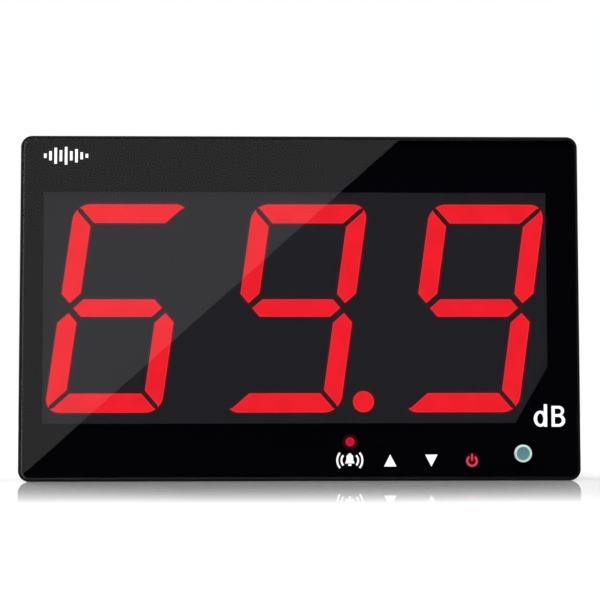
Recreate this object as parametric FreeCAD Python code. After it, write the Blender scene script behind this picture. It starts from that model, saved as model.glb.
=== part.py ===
"""Large-display sound level meter: a flat wall or desk instrument with a red three-digit readout.

Millimetres. +X is to the right, +Y to the back, +Z up. The origin is the centre of the
bottom face, so the meter stands on Z = 0 and its face looks along -Y.
"""
import FreeCAD, Part
import math
import os

V = FreeCAD.Vector
os.makedirs("parts", exist_ok=True)

# ---- driving dimensions ------------------------------------------------------------------
WIDTH = 248.0
HEIGHT = 153.0
DEPTH = 28.0
CORNER_R = 5.0                    # of the outline, seen from the front

FRONT_Y = -DEPTH / 2
BACK_Y = DEPTH / 2
PARTING_Y = 2.0                   # front frame meets rear case

RIM = 1.2                         # width of the frame's edge around the panel
RIM_ROUND = 0.8
FRAME_WALL = 2.0
CASE_WALL = 2.4
BACK_WALL = 2.0
BACK_ROUND = 2.0
SEAM = 0.4                        # small chamfers that make the seam line

PANEL_GAP = 0.1
PANEL_T = 2.0
PANEL_BEVEL = 0.6
PANEL_PROUD = 0.6                 # the panel's face stands this far out of the frame
PRINT_T = 0.1
TAPE_T = 0.5
WEB_T = 1.5                       # the frame's inner wall, which the tape sticks to

FRAME_FRONT = FRONT_Y + PANEL_PROUD
PANEL_BACK = FRONT_Y + PANEL_T
PRINT_BACK = PANEL_BACK + PRINT_T
WEB_FRONT = PRINT_BACK + TAPE_T
WEB_BACK = WEB_FRONT + WEB_T

WINDOW_X = (-113.7, 109.7)        # clear window in the border print
WINDOW_Z = (25.4, 128.0)
WINDOW_CUT = (14.5, 24.8)         # the cut lower right corner, along X and along Z

DIGIT_W = 51.35                   # over the lit cores, before the slant
DIGIT_Z = (30.15, 122.55)
DIGIT_PITCH = 79.0
DIGIT_1_X = -117.0                # left edge of digit 1, carried down to Z = 0
SLANT = 0.138                     # tangent of the digits' lean
STROKE = 8.5
STROKE_MIDDLE = 7.8
DIGIT_ROUND = 7.0
MIDDLE_INSET = 6.1                # from a digit's side to the tip of its middle bar
TIP_LIFT = 1.35                   # from the middle line to the tips of the side bars
SEGMENT_RIM = 0.8                 # dim edge round the lit core
SEGMENT_GAP = 0.4                 # wall between two light guides
SEGMENT_T = 3.0
POINT_AT = (27.9, 34.9)
POINT_R = 4.7

HOUSING_MARGIN = 1.9              # the display housing reaches this far past the window
HOUSING_FRONT = PRINT_BACK + 0.1
HOUSING_T = 8.0
BOARD_FRONT = HOUSING_FRONT + HOUSING_T
BOARD_T = 1.6
BOARD_BACK = BOARD_FRONT + BOARD_T

ALARM_AT = (21.9, 17.2)
ALARM_R = 1.85
BELL_AT = (21.75, 9.1)
UP_AT = (39.6, 9.0)
DOWN_AT = (57.8, 8.9)
POWER_AT = (75.8, 8.7)
MIC_AT = (98.35, 11.95)
MIC_RING_R = 3.9

MAIN_X = (42.0, 120.5)
MAIN_Z = (13.0, 113.0)
MAIN_FRONT = 0.8
MAIN_BACK = MAIN_FRONT + BOARD_T

JACK_Y = 7.0
JACK_Z = 30.0
JACK_BORE_R = 3.2
TRIMMER_Y = 5.8
TRIMMER_Z = 48.0
ROTOR_R = 1.4
RUNNING = 0.05                    # radial clearance where something turns

CASE_SCREWS = [(x, 6.0) for x in (-118.0, -48.7, 48.7, 118.0)]
CASE_SCREWS += [(x, 147.0) for x in (-118.0, 0.0, 118.0)]
BOARD_SCREWS = [(-100, 136), (0, 136), (100, 136), (-100, 14), (-25, 14), (110.5, 14)]
MAIN_SCREWS = [(46, 17), (46, 109), (116.3, 17), (116.3, 109)]

KEYHOLE_X = 80.0
KEYHOLE_Z = 121.0
KEYHOLE_R = 4.5
KEYHOLE_SLOT_R = 2.3
KEYHOLE_RISE = 8.0

HINGE_Y = 12.3
HINGE_Z = 100.0
LEG_W = 60.0
LEG_T = 3.0
LEG_LOW = 11.0
PAD_T = 2.0
BARREL_R = 1.7
PIN_R = 1.0
POCKET_FLOOR = 10.2
POCKET_WALL = 1.6
POCKET_GAP = 0.6


# ---- helpers -----------------------------------------------------------------------------
def box(x, y, z):
    """A block given by its (low, high) pair on each axis."""
    return Part.makeBox(x[1] - x[0], y[1] - y[0], z[1] - z[0], V(x[0], y[0], z[0]))


def rod_y(at, r, y):
    """A cylinder along Y, centred on (X, Z)."""
    return Part.makeCylinder(r, y[1] - y[0], V(at[0], y[0], at[1]), V(0, 1, 0))


def rod_x(y, z, r, x):
    """A cylinder along X, centred on Y and Z."""
    return Part.makeCylinder(r, x[1] - x[0], V(x[0], y, z), V(1, 0, 0))


def prism(points, y):
    """An upright outline in X and Z, run from one Y to another."""
    corners = [V(px, y[0], pz) for px, pz in points]
    face = Part.Face(Part.makePolygon(corners + corners[:1]))
    return face.extrude(V(0, y[1] - y[0], 0))


def round_plate(x, z, r, y):
    """A plate with rounded corners, facing along Y."""
    plate = box(x, y, z)
    upright = [e for e in plate.Edges if abs(e.Vertexes[0].Y - e.Vertexes[-1].Y) > 1e-6]
    return plate.makeFillet(r, upright)


def inset_plate(inset, y):
    """The meter's own outline, smaller all round by inset, run along Y."""
    x = (-WIDTH / 2 + inset, WIDTH / 2 - inset)
    z = (inset, HEIGHT - inset)
    return round_plate(x, z, CORNER_R - inset, y)


def edges_at(shape, y):
    """The edges that lie wholly at one Y."""
    return [e for e in shape.Edges if all(abs(v.Y - y) < 1e-6 for v in e.Vertexes)]


def cut(body, tools):
    return body.cut(Part.makeCompound(list(tools)))


def fuse(body, more):
    return body.multiFuse(list(more)).removeSplitter()


def window_outline(grow):
    """The window's five corners, moved outwards by grow."""
    x0 = WINDOW_X[0] - grow
    x1 = WINDOW_X[1] + grow
    z0 = WINDOW_Z[0] - grow
    z1 = WINDOW_Z[1] + grow
    return [(x0, z0), (x1 - WINDOW_CUT[0], z0), (x1, z0 + WINDOW_CUT[1]), (x1, z1), (x0, z1)]


nodes = {}

# ---- seven-segment display ---------------------------------------------------------------
SEGMENT_Y = (HOUSING_FRONT, HOUSING_FRONT + SEGMENT_T)
CAVITY_Y = (HOUSING_FRONT - 1, BOARD_FRONT + 1)


def segment_outlines():
    """The seven bars of an upright digit, its lower left core corner at (0, 0)."""
    low = -SEGMENT_RIM
    right = DIGIT_W + SEGMENT_RIM
    top = DIGIT_Z[1] - DIGIT_Z[0] + SEGMENT_RIM
    mid = (low + top) / 2
    s = STROKE + 2 * SEGMENT_RIM
    k = SEGMENT_GAP / math.sqrt(2)
    lift = TIP_LIFT - (math.sqrt(2) - 1) * SEGMENT_RIM
    half = STROKE_MIDDLE / 2 + SEGMENT_RIM
    tip = MIDDLE_INSET - math.sqrt(2) * SEGMENT_RIM
    bar_a = [(low + k, top), (right - k, top), (right - s - k, top - s), (low + s + k, top - s)]
    bar_f = [(low, top - k), (low + s, top - s - k), (low + s, mid + lift + s / 2),
             (low + s / 2, mid + lift), (low, mid + lift + s / 2)]
    bar_g = [(tip, mid), (tip + half, mid + half), (DIGIT_W - tip - half, mid + half),
             (DIGIT_W - tip, mid), (DIGIT_W - tip - half, mid - half), (tip + half, mid - half)]

    def mirror_x(bar):
        return [(low + right - u, v) for u, v in bar]

    def mirror_z(bar):
        return [(u, 2 * mid - v) for u, v in bar]

    return {
        "a": bar_a,
        "b": mirror_x(bar_f),
        "c": mirror_x(mirror_z(bar_f)),
        "d": mirror_z(bar_a),
        "e": mirror_z(bar_f),
        "f": bar_f,
        "g": bar_g,
    }


def slanted(shape, left):
    """Lean an upright digit piece to the right and put it at its digit's place."""
    lean = FreeCAD.Matrix()
    lean.A13 = SLANT
    lean.A14 = left + SLANT * DIGIT_Z[0]
    lean.A34 = DIGIT_Z[0]
    return shape.transformGeometry(lean)


def digit_pieces(y):
    """Every bar of every digit as a solid, by node name."""
    outer = round_plate(
        (-SEGMENT_RIM, DIGIT_W + SEGMENT_RIM),
        (-SEGMENT_RIM, DIGIT_Z[1] - DIGIT_Z[0] + SEGMENT_RIM),
        DIGIT_ROUND + SEGMENT_RIM,
        y,
    )
    pieces = {}
    for letter, outline in segment_outlines().items():
        bar = prism(outline, y).common(outer)
        for number in (1, 2, 3):
            left = DIGIT_1_X + (number - 1) * DIGIT_PITCH
            pieces[f"digit_{number}_segment_{letter}"] = slanted(bar, left)
    pieces["decimal_point"] = rod_y(POINT_AT, POINT_R + SEGMENT_RIM, y)
    return pieces


nodes.update(digit_pieces(SEGMENT_Y))

housing = prism(window_outline(HOUSING_MARGIN), (HOUSING_FRONT, BOARD_FRONT))
nodes["display_housing"] = cut(housing, digit_pieces(CAVITY_Y).values())

CHIP = (3.2, 0.8, 1.6)            # one LED chip along X, Y and Z
CHIPS_PER_BAR = 3


def led_chips():
    """LED chips on the display board, spread along each bar's length."""
    chips = []
    for name, piece in nodes.items():
        if "_segment_" not in name and name != "decimal_point":
            continue
        size = piece.BoundBox
        middle = size.Center
        flat = size.XLength > size.ZLength * 1.5
        count = 1 if name == "decimal_point" else CHIPS_PER_BAR
        for i in range(count):
            step = (i - (count - 1) / 2) * 0.28
            x = middle.x + (step * size.XLength if flat else SLANT * step * size.ZLength)
            z = middle.z + (0 if flat else step * size.ZLength)
            chips.append(box((x - CHIP[0] / 2, x + CHIP[0] / 2),
                             (BOARD_FRONT - CHIP[1], BOARD_FRONT),
                             (z - CHIP[2] / 2, z + CHIP[2] / 2)))
    return Part.makeCompound(chips)


nodes["display_leds"] = led_chips()

# ---- legends printed behind the panel ----------------------------------------------------
PRINT_Y = (PANEL_BACK, PRINT_BACK)
DEEP_Y = (PANEL_BACK - 1, PRINT_BACK + 1)


def arc_band(centre, r_mid, stroke, start, sweep, y):
    """Part of a ring, from a start angle through a sweep, in degrees from +X towards +Z."""
    def at(r, degrees):
        a = math.radians(degrees)
        return V(centre[0] + r * math.cos(a), y[0], centre[1] + r * math.sin(a))

    inner = r_mid - stroke / 2
    outer = r_mid + stroke / 2
    half = start + sweep / 2
    end = start + sweep
    edges = [
        Part.Arc(at(outer, start), at(outer, half), at(outer, end)).toShape(),
        Part.LineSegment(at(outer, end), at(inner, end)).toShape(),
        Part.Arc(at(inner, end), at(inner, half), at(inner, start)).toShape(),
        Part.LineSegment(at(inner, start), at(outer, start)).toShape(),
    ]
    return Part.Face(Part.Wire(edges)).extrude(V(0, y[1] - y[0], 0))


def bell_legend(y):
    """A bell with its clapper, and two sound arcs on each side."""
    cx, cz = BELL_AT
    base = cz - 1.0
    shoulder = base + 2.9
    top = base + 4.1
    outline = [(cx - 2.05, base - 0.35), (cx + 2.05, base - 0.35), (cx + 2.05, base),
               (cx + 1.55, base + 1.0), (cx + 1.45, shoulder), (cx + 0.7, shoulder + 0.75),
               (cx + 0.3, top), (cx - 0.3, top), (cx - 0.7, shoulder + 0.75),
               (cx - 1.45, shoulder), (cx - 1.55, base + 1.0), (cx - 2.05, base)]
    pieces = [prism(outline, y)]
    pieces.append(box((cx - 0.7, cx + 0.7), y, (base - 1.4, base - 0.6)))
    for r_mid, half_angle in ((3.2, 43.0), (5.05, 41.0)):
        pieces.append(arc_band((cx + 0.5, cz), r_mid, 0.85, -half_angle, 2 * half_angle, y))
        pieces.append(arc_band((cx - 0.5, cz), r_mid, 0.85, 180 - half_angle, 2 * half_angle, y))
    return pieces


def triangle(at, up, y):
    """One arrow key's sign, pointing up or down."""
    half_w = 2.75
    half_h = 2.65
    tip = half_h if up else -half_h
    return prism([(at[0] - half_w, at[1] - tip), (at[0] + half_w, at[1] - tip),
                  (at[0], at[1] + tip)], y)


def key_legends(y):
    return bell_legend(y) + [triangle(UP_AT, True, y), triangle(DOWN_AT, False, y)]


def power_legend(y):
    """A broken ring with a short upright bar."""
    cx, cz = POWER_AT
    gap = 35.0
    ring = arc_band(POWER_AT, 2.12, 0.95, 90 + gap, 360 - 2 * gap, y)
    bar = box((cx - 0.4, cx + 0.4), y, (cz + 0.1, cz + 3.15))
    return [ring, bar]


def round_ended(x, z, y):
    """A block whose right end is half a disc."""
    r = (z[1] - z[0]) / 2
    block = box((x[0], x[1] - r), y, z)
    return block.fuse(rod_y((x[1] - r, z[0] + r), r, y))


def oval(centre, half_x, half_z, y):
    """An upright elliptical disc."""
    disc = rod_y((0, 0), 1.0, y)
    stretch = FreeCAD.Matrix()
    stretch.A11 = half_x
    stretch.A33 = half_z
    stretch.A14 = centre[0]
    stretch.A34 = centre[1]
    return disc.transformGeometry(stretch)


def unit_legend(y):
    """The two letters of the unit, decibel."""
    foot = 23.7
    left = 103.35
    bowl = oval((left + 3.0, foot + 3.55), 3.0, 3.55, y)
    stem = box((left + 4.5, left + 5.95), y, (foot, foot + 9.95))
    letter_d = bowl.fuse(stem).cut(oval((left + 2.9, foot + 3.5), 1.38, 2.35, DEEP_Y))
    left = 111.25
    stem = box((left, left + 1.45), y, (foot, foot + 9.2))
    upper = round_ended((left, left + 5.6), (foot + 4.7, foot + 9.2), y)
    lower = round_ended((left, left + 6.05), (foot, foot + 5.4), y)
    letter_b = stem.multiFuse([upper, lower])
    letter_b = letter_b.cut(round_ended((left + 1.45, left + 4.25), (foot + 5.6, foot + 8.0), DEEP_Y))
    letter_b = letter_b.cut(round_ended((left + 1.45, left + 4.55), (foot + 1.2, foot + 4.35), DEEP_Y))
    return [letter_d.removeSplitter(), letter_b.removeSplitter()]


MARK_X = -113.8
MARK_Z = 144.1
MARK_HEIGHTS = (2.0, 4.2, 7.2, 5.0, 8.0, 4.2, 6.0, 3.2, 1.8)
MARK_PITCH = 2.3
MARK_BAR = 1.2


def face_mark(y):
    """A plain row of level bars, which stands for no maker."""
    bars = []
    for i, tall in enumerate(MARK_HEIGHTS):
        x = MARK_X + i * MARK_PITCH
        bars.append(box((x, x + MARK_BAR), y, (MARK_Z - tall / 2, MARK_Z + tall / 2)))
    return bars


nodes["key_legends"] = Part.makeCompound(key_legends(PRINT_Y))
nodes["power_legend"] = Part.makeCompound(power_legend(PRINT_Y))
nodes["unit_legend"] = Part.makeCompound(unit_legend(PRINT_Y))
nodes["face_mark"] = Part.makeCompound(face_mark(PRINT_Y))

# ---- front panel, border print and tape --------------------------------------------------
panel = inset_plate(RIM + PANEL_GAP, (FRONT_Y, PANEL_BACK))
panel = panel.makeChamfer(PANEL_BEVEL, edges_at(panel, FRONT_Y))
nodes["front_panel"] = panel.cut(rod_y(MIC_AT, MIC_RING_R, (FRONT_Y - 1, PANEL_BACK + 1)))

border = inset_plate(RIM + PANEL_GAP + PANEL_BEVEL, PRINT_Y)
border = cut(border, [prism(window_outline(0), DEEP_Y),
                      rod_y(MIC_AT, MIC_RING_R, DEEP_Y),
                      rod_y(ALARM_AT, ALARM_R + 0.05, DEEP_Y)])
for legend in (key_legends, power_legend, unit_legend, face_mark):
    border = cut(border, legend(PRINT_Y))
nodes["border_print"] = border

KEYS = (BELL_AT, UP_AT, DOWN_AT, POWER_AT)
SPRING_WELL_R = 4.2
MIC_BOOT_R = 6.4
WEB_HOLES_Y = (PRINT_BACK - 1, WEB_BACK + 1)
UNIT_LIGHT = ((100.9, 119.2), (22.2, 35.0))


def web_holes(slack):
    """Openings in the web and the tape: display, unit letters, springs, lamp, microphone."""
    holes = [prism(window_outline(HOUSING_MARGIN + slack), WEB_HOLES_Y)]
    holes.append(box(UNIT_LIGHT[0], WEB_HOLES_Y, UNIT_LIGHT[1]))
    holes += [rod_y(key, SPRING_WELL_R, WEB_HOLES_Y) for key in KEYS]
    holes.append(rod_y(ALARM_AT, ALARM_R + 0.6, WEB_HOLES_Y))
    holes.append(rod_y(MIC_AT, MIC_BOOT_R + 0.1, WEB_HOLES_Y))
    return holes


tape = inset_plate(2.4, (PRINT_BACK, WEB_FRONT))
nodes["panel_tape"] = cut(tape, web_holes(0.8))

# ---- front frame -------------------------------------------------------------------------
CASE_BOSS_R = 4.2
SCREW_R = 1.5
BOARD_BOSS_R = 2.8
BOARD_SCREW_R = 1.2

frame = inset_plate(0, (FRAME_FRONT, PARTING_Y))
frame = frame.makeFillet(RIM_ROUND, edges_at(frame, FRAME_FRONT))
frame = frame.makeChamfer(SEAM, edges_at(frame, PARTING_Y))
frame = frame.cut(inset_plate(RIM, (FRAME_FRONT - 1, WEB_FRONT)))
frame = frame.cut(inset_plate(FRAME_WALL, (WEB_BACK, PARTING_Y + 1)))
frame = cut(frame, web_holes(0.4))
bosses = [rod_y(at, CASE_BOSS_R, (WEB_BACK - 0.5, PARTING_Y)) for at in CASE_SCREWS]
bosses += [rod_y(at, BOARD_BOSS_R, (WEB_BACK - 0.5, BOARD_FRONT)) for at in BOARD_SCREWS]
frame = fuse(frame, bosses)
pilots = [rod_y(at, SCREW_R, (-5.0, PARTING_Y + 1)) for at in CASE_SCREWS]
pilots += [rod_y(at, BOARD_SCREW_R, (-8.5, BOARD_FRONT + 1)) for at in BOARD_SCREWS]
nodes["front_frame"] = cut(frame, pilots)

# ---- display board, its screws and what stands on it -------------------------------------
HEADER_X0 = 56.0
HEADER_Z = 18.5
HEADER_PITCH = 2.54
HEADER_PINS = 10
HEADER_PIN = 0.32
BOSS_NOTCH = 5.2                  # half width of the board's notch round a case boss
header_pins = [HEADER_X0 + i * HEADER_PITCH for i in range(HEADER_PINS)]

board = box((-116, 116), (BOARD_FRONT, BOARD_BACK), (3.5, 141))
notch_y = (BOARD_FRONT - 1, BOARD_BACK + 1)
notches = [box((x - BOSS_NOTCH, x + BOSS_NOTCH), notch_y, (0, z + BOSS_NOTCH))
           for x, z in CASE_SCREWS if z < HEIGHT / 2]
notches += [rod_y(at, BOARD_SCREW_R + 0.2, notch_y) for at in BOARD_SCREWS]
notches += [box((x - HEADER_PIN, x + HEADER_PIN), notch_y,
                (HEADER_Z - HEADER_PIN, HEADER_Z + HEADER_PIN)) for x in header_pins]
MIC_LEADS = [(MIC_AT[0] + side * 1.27, MIC_AT[1]) for side in (-1, 1)]
MIC_LEAD_R = 0.3
notches += [rod_y(at, MIC_LEAD_R, notch_y) for at in MIC_LEADS]
nodes["display_board"] = cut(board, notches)


def screw(at, seat, head, shank, way):
    """A pan-head screw along Y. head and shank are (radius, length); way is -1 for forward."""
    head_y = sorted((seat, seat - way * head[1]))
    shank_y = sorted((seat, seat + way * shank[1]))
    body = rod_y(at, head[0], head_y).fuse(rod_y(at, shank[0], shank_y))
    outer = head_y[0] if way > 0 else head_y[1]
    drive = sorted((outer, outer + way * head[1] * 0.6))
    arm = head[0] * 0.55
    for half_x, half_z in ((arm, head[0] * 0.14), (head[0] * 0.14, arm)):
        body = body.cut(box((at[0] - half_x, at[0] + half_x), drive,
                            (at[1] - half_z, at[1] + half_z)))
    return body.removeSplitter()


nodes["display_board_screws"] = Part.makeCompound(
    [screw(at, BOARD_BACK, (2.3, 1.4), (BOARD_SCREW_R, 6.0), -1) for at in BOARD_SCREWS])

SPRING_R = 2.4
SPRING_WIRE_R = 0.35
SPRING_TURNS = 5


def touch_spring(at):
    """A coiled contact spring from the board to the back of the panel."""
    height = BOARD_FRONT - PRINT_BACK - 2 * SPRING_WIRE_R
    helix = Part.makeHelix(height / SPRING_TURNS, height, SPRING_R)
    ring = Part.Wire(Part.Circle(V(SPRING_R, 0, 0), V(0, 1, 0), SPRING_WIRE_R).toShape())
    coil = Part.Wire(helix).makePipeShell([ring], True, True)
    coil.rotate(V(0, 0, 0), V(1, 0, 0), -90)
    coil.translate(V(at[0], PRINT_BACK + SPRING_WIRE_R, at[1]))
    return coil


nodes["touch_springs"] = Part.makeCompound([touch_spring(at) for at in KEYS])

lamp = rod_y(ALARM_AT, ALARM_R, (PANEL_BACK + 0.02, BOARD_FRONT))
flange = rod_y(ALARM_AT, ALARM_R + 0.4, (BOARD_FRONT - 1.0, BOARD_FRONT))
nodes["alarm_led"] = fuse(lamp, [flange])

LEGEND_LEDS = [(at[0] + 3.4, at[1] + 3.4) for at in KEYS] + [(106.0, 28.5), (114.0, 28.5)]
nodes["legend_leds"] = Part.makeCompound(
    [box((x - 0.8, x + 0.8), (BOARD_FRONT - 0.8, BOARD_FRONT), (z - 0.5, z + 0.5))
     for x, z in LEGEND_LEDS])

# ---- microphone --------------------------------------------------------------------------
CAPSULE_R = 4.85
CAPSULE_BACK = PRINT_BACK + 5.4
RING_HOLE_R = 2.95
ring = rod_y(MIC_AT, MIC_RING_R, (FRONT_Y, PRINT_BACK))
ring = ring.makeChamfer(0.25, edges_at(ring, FRONT_Y))
nodes["microphone_ring"] = ring.cut(rod_y(MIC_AT, RING_HOLE_R, (FRONT_Y - 1, PRINT_BACK + 1)))
nodes["microphone_gauze"] = rod_y(MIC_AT, RING_HOLE_R, (FRONT_Y + 0.4, FRONT_Y + 0.8))
capsule = rod_y(MIC_AT, CAPSULE_R, (PRINT_BACK, CAPSULE_BACK))
capsule = fuse(capsule, [rod_y(at, MIC_LEAD_R, (CAPSULE_BACK - 0.2, BOARD_BACK + 0.8))
                         for at in MIC_LEADS])
nodes["microphone_capsule"] = capsule
boot = rod_y(MIC_AT, MIC_BOOT_R, (PRINT_BACK, CAPSULE_BACK + 1.2))
boot = boot.cut(rod_y(MIC_AT, CAPSULE_R, (PRINT_BACK - 1, CAPSULE_BACK)))
nodes["microphone_boot"] = cut(boot, [rod_y(at, MIC_LEAD_R, (PRINT_BACK, BOARD_BACK))
                                      for at in MIC_LEADS])

# ---- main board and its components -------------------------------------------------------
MAIN_SCREW_R = 1.2
main = box(MAIN_X, (MAIN_FRONT, MAIN_BACK), MAIN_Z)
main_y = (MAIN_FRONT - 1, MAIN_BACK + 1)
holes = [rod_y(at, MAIN_SCREW_R + 0.2, main_y) for at in MAIN_SCREWS]
holes += [box((x - HEADER_PIN, x + HEADER_PIN), main_y,
              (HEADER_Z - HEADER_PIN, HEADER_Z + HEADER_PIN)) for x in header_pins]
nodes["main_board"] = cut(main, holes)
nodes["main_board_screws"] = Part.makeCompound(
    [screw(at, MAIN_FRONT, (2.3, 1.4), (MAIN_SCREW_R, 6.0), 1) for at in MAIN_SCREWS])

strip = box((header_pins[0] - HEADER_PITCH / 2, header_pins[-1] + HEADER_PITCH / 2),
            (BOARD_BACK, MAIN_FRONT), (HEADER_Z - 1.25, HEADER_Z + 1.25))
pins = [box((x - HEADER_PIN, x + HEADER_PIN), (BOARD_FRONT - 0.8, MAIN_BACK + 0.8),
            (HEADER_Z - HEADER_PIN, HEADER_Z + HEADER_PIN)) for x in header_pins]
nodes["board_header"] = cut(strip, pins)
nodes["board_header_pins"] = Part.makeCompound(pins)


def chip(at, size, leads, sides):
    """A flat chip on the main board with gull-wing leads on two or four sides."""
    cx, cz = at
    wide, tall, thick = size
    body = box((cx - wide / 2, cx + wide / 2), (MAIN_BACK + 0.1, MAIN_BACK + thick),
               (cz - tall / 2, cz + tall / 2))
    feet = []
    for i in range(leads):
        off = (i - (leads - 1) / 2) * (0.8 if sides == 4 else 1.27)
        for way in (-1, 1):
            edge = cz + way * tall / 2
            z = sorted((edge - way * 0.2, edge + way * 1.0))
            feet.append(box((cx + off - 0.2, cx + off + 0.2),
                            (MAIN_BACK, MAIN_BACK + thick / 2), z))
            if sides == 4:
                edge = cx + way * wide / 2
                x = sorted((edge - way * 0.2, edge + way * 1.0))
                feet.append(box(x, (MAIN_BACK, MAIN_BACK + thick / 2),
                                (cz + off - 0.2, cz + off + 0.2)))
    return fuse(body, feet)


nodes["microcontroller"] = chip((66, 58), (11, 11, 1.6), 12, 4)
nodes["display_driver_chips"] = Part.makeCompound(
    [chip((60 + i * 17, 80), (12.5, 7.5, 2.3), 9, 2) for i in range(3)])
can = round_plate((60.5, 71.5), (37.7, 42.3), 2.25, (MAIN_BACK, MAIN_BACK + 3.5))
nodes["crystal"] = can
nodes["capacitors"] = Part.makeCompound(
    [rod_y(at, 3.15, (MAIN_BACK, MAIN_BACK + 5.6)) for at in ((90, 30), (90, 40), (98, 40))])
BUZZER_AT = (100.0, 98.0)
buzzer = rod_y(BUZZER_AT, 6.0, (MAIN_BACK, MAIN_BACK + 5.5))
nodes["buzzer"] = buzzer.cut(rod_y(BUZZER_AT, 1.0, (MAIN_BACK + 4.5, MAIN_BACK + 6)))

SIDE_INNER = WIDTH / 2 - CASE_WALL
JACK_X = (SIDE_INNER - 13.0, SIDE_INNER)
JACK_BORE_X = SIDE_INNER - 9.5
JACK_PIN_R = 1.05
jack = box(JACK_X, (MAIN_BACK, MAIN_BACK + 8.6), (JACK_Z - 4.5, JACK_Z + 4.5))
jack = jack.cut(rod_x(JACK_Y, JACK_Z, JACK_BORE_R, (JACK_BORE_X, SIDE_INNER + 1)))
pin = rod_x(JACK_Y, JACK_Z, JACK_PIN_R, (JACK_BORE_X - 1.5, SIDE_INNER - 1.0))
pin = pin.makeFillet(0.4, [e for e in pin.Edges if abs(e.CenterOfMass.x - (SIDE_INNER - 1.0)) < 1e-6])
nodes["power_jack"] = jack.cut(rod_x(JACK_Y, JACK_Z, JACK_PIN_R, (JACK_BORE_X - 1.5, SIDE_INNER)))
nodes["power_jack_pin"] = pin

TRIMMER_X = (113.6, 120.2)
ROTOR_X = (116.2, 121.2)
body = box(TRIMMER_X, (MAIN_BACK, MAIN_BACK + 6.8), (TRIMMER_Z - 3.3, TRIMMER_Z + 3.3))
body = body.cut(rod_x(TRIMMER_Y, TRIMMER_Z, ROTOR_R + RUNNING, (ROTOR_X[0] - 0.1, 130)))
nodes["trimmer_body"] = body
rotor = rod_x(TRIMMER_Y, TRIMMER_Z, ROTOR_R, ROTOR_X)
slot = box((ROTOR_X[1] - 0.8, ROTOR_X[1] + 1), (TRIMMER_Y - 2, TRIMMER_Y + 2),
           (TRIMMER_Z - 0.3, TRIMMER_Z + 0.3))
nodes["trimmer_rotor"] = rotor.cut(slot)

# ---- rear case ---------------------------------------------------------------------------
INNER_BACK = BACK_Y - BACK_WALL
LIP = 2.05                        # the case's tongue starts this far in from the outline
LIP_T = 1.2
LIP_ROOT = 0.35                   # how far the tongue runs back inside the case's wall
HEAD_SEAT = 8.0
HEAD_WELL_R = 3.2

case = inset_plate(0, (PARTING_Y, BACK_Y))
case = case.makeFillet(BACK_ROUND, edges_at(case, BACK_Y))
case = case.makeChamfer(SEAM, edges_at(case, PARTING_Y))
case = case.cut(inset_plate(CASE_WALL, (PARTING_Y - 1, INNER_BACK)))
tongue = inset_plate(LIP, (PARTING_Y - 2.5, PARTING_Y + LIP_ROOT))
tongue = tongue.cut(inset_plate(LIP + LIP_T, (PARTING_Y - 3, PARTING_Y + 3)))
tongue = cut(tongue, [rod_y(at, CASE_BOSS_R + 0.4, (PARTING_Y - 3, PARTING_Y))
                      for at in CASE_SCREWS])
bosses = [rod_y(at, HEAD_WELL_R + 1.2, (PARTING_Y, INNER_BACK + 0.5)) for at in CASE_SCREWS]
bosses += [rod_y(at, 3.0, (MAIN_BACK, INNER_BACK + 0.5)) for at in MAIN_SCREWS]

POCKET_X = LEG_W / 2 + POCKET_GAP
POCKET_Z = (LEG_LOW - PAD_T - POCKET_GAP, HINGE_Z + BARREL_R + POCKET_GAP)
NOTCH_X = POCKET_X + 5.0
NOTCH_Z = (24.0, 40.0)
NOTCH_FLOOR = 9.2                 # the finger notches are deeper than the pocket


def pocket_blocks(grow, back):
    """The stand's pocket and its two finger notches, larger all round by grow."""
    blocks = [box((-POCKET_X - grow, POCKET_X + grow), (POCKET_FLOOR - grow, back),
                  (POCKET_Z[0] - grow, POCKET_Z[1] + grow))]
    for side in (-1, 1):
        x = sorted((side * (POCKET_X - 4.0), side * (NOTCH_X + grow)))
        z = (NOTCH_Z[0] - grow, NOTCH_Z[1] + grow)
        blocks.append(round_plate(x, z, 2.5, (NOTCH_FLOOR - grow, back)))
    return blocks


pocket = pocket_blocks(0, BACK_Y + 1)
pocket_shell = pocket_blocks(POCKET_WALL, INNER_BACK + 0.5)
hinge_boss = [rod_x(HINGE_Y, HINGE_Z, PIN_R + 1.6, (side - 3.0, side + 3.0))
              for side in (-POCKET_X - 1.5, POCKET_X + 1.5)]
case = fuse(case, [tongue] + bosses + pocket_shell)
case = fuse(case, [piece.common(inset_plate(1.0, (PARTING_Y, BACK_Y - 0.4))) for piece in hinge_boss])
PIN_HALF = POCKET_X + 3.0
through_y = (INNER_BACK - 1, BACK_Y + 1)
openings = list(pocket)
openings.append(rod_x(HINGE_Y, HINGE_Z, PIN_R, (-PIN_HALF, PIN_HALF)))
for at in CASE_SCREWS:
    openings.append(rod_y(at, SCREW_R + 0.2, (PARTING_Y - 1, BACK_Y + 1)))
    openings.append(rod_y(at, HEAD_WELL_R, (HEAD_SEAT, BACK_Y + 1)))
openings += [rod_y(at, MAIN_SCREW_R, (MAIN_BACK - 1, MAIN_FRONT + 6.5)) for at in MAIN_SCREWS]
for side in (-1, 1):
    x = side * KEYHOLE_X
    openings.append(rod_y((x, KEYHOLE_Z), KEYHOLE_R, through_y))
    openings.append(rod_y((x, KEYHOLE_Z + KEYHOLE_RISE), KEYHOLE_SLOT_R, through_y))
    openings.append(box((x - KEYHOLE_SLOT_R, x + KEYHOLE_SLOT_R), through_y,
                        (KEYHOLE_Z, KEYHOLE_Z + KEYHOLE_RISE)))
SOUND_HOLES = [BUZZER_AT] + [(BUZZER_AT[0] + 3.6 * math.cos(math.radians(60 * i)),
                              BUZZER_AT[1] + 3.6 * math.sin(math.radians(60 * i)))
                             for i in range(6)]
openings += [rod_y(at, 0.8, through_y) for at in SOUND_HOLES]
side_x = (SIDE_INNER - 1, WIDTH / 2 + 1)
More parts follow.
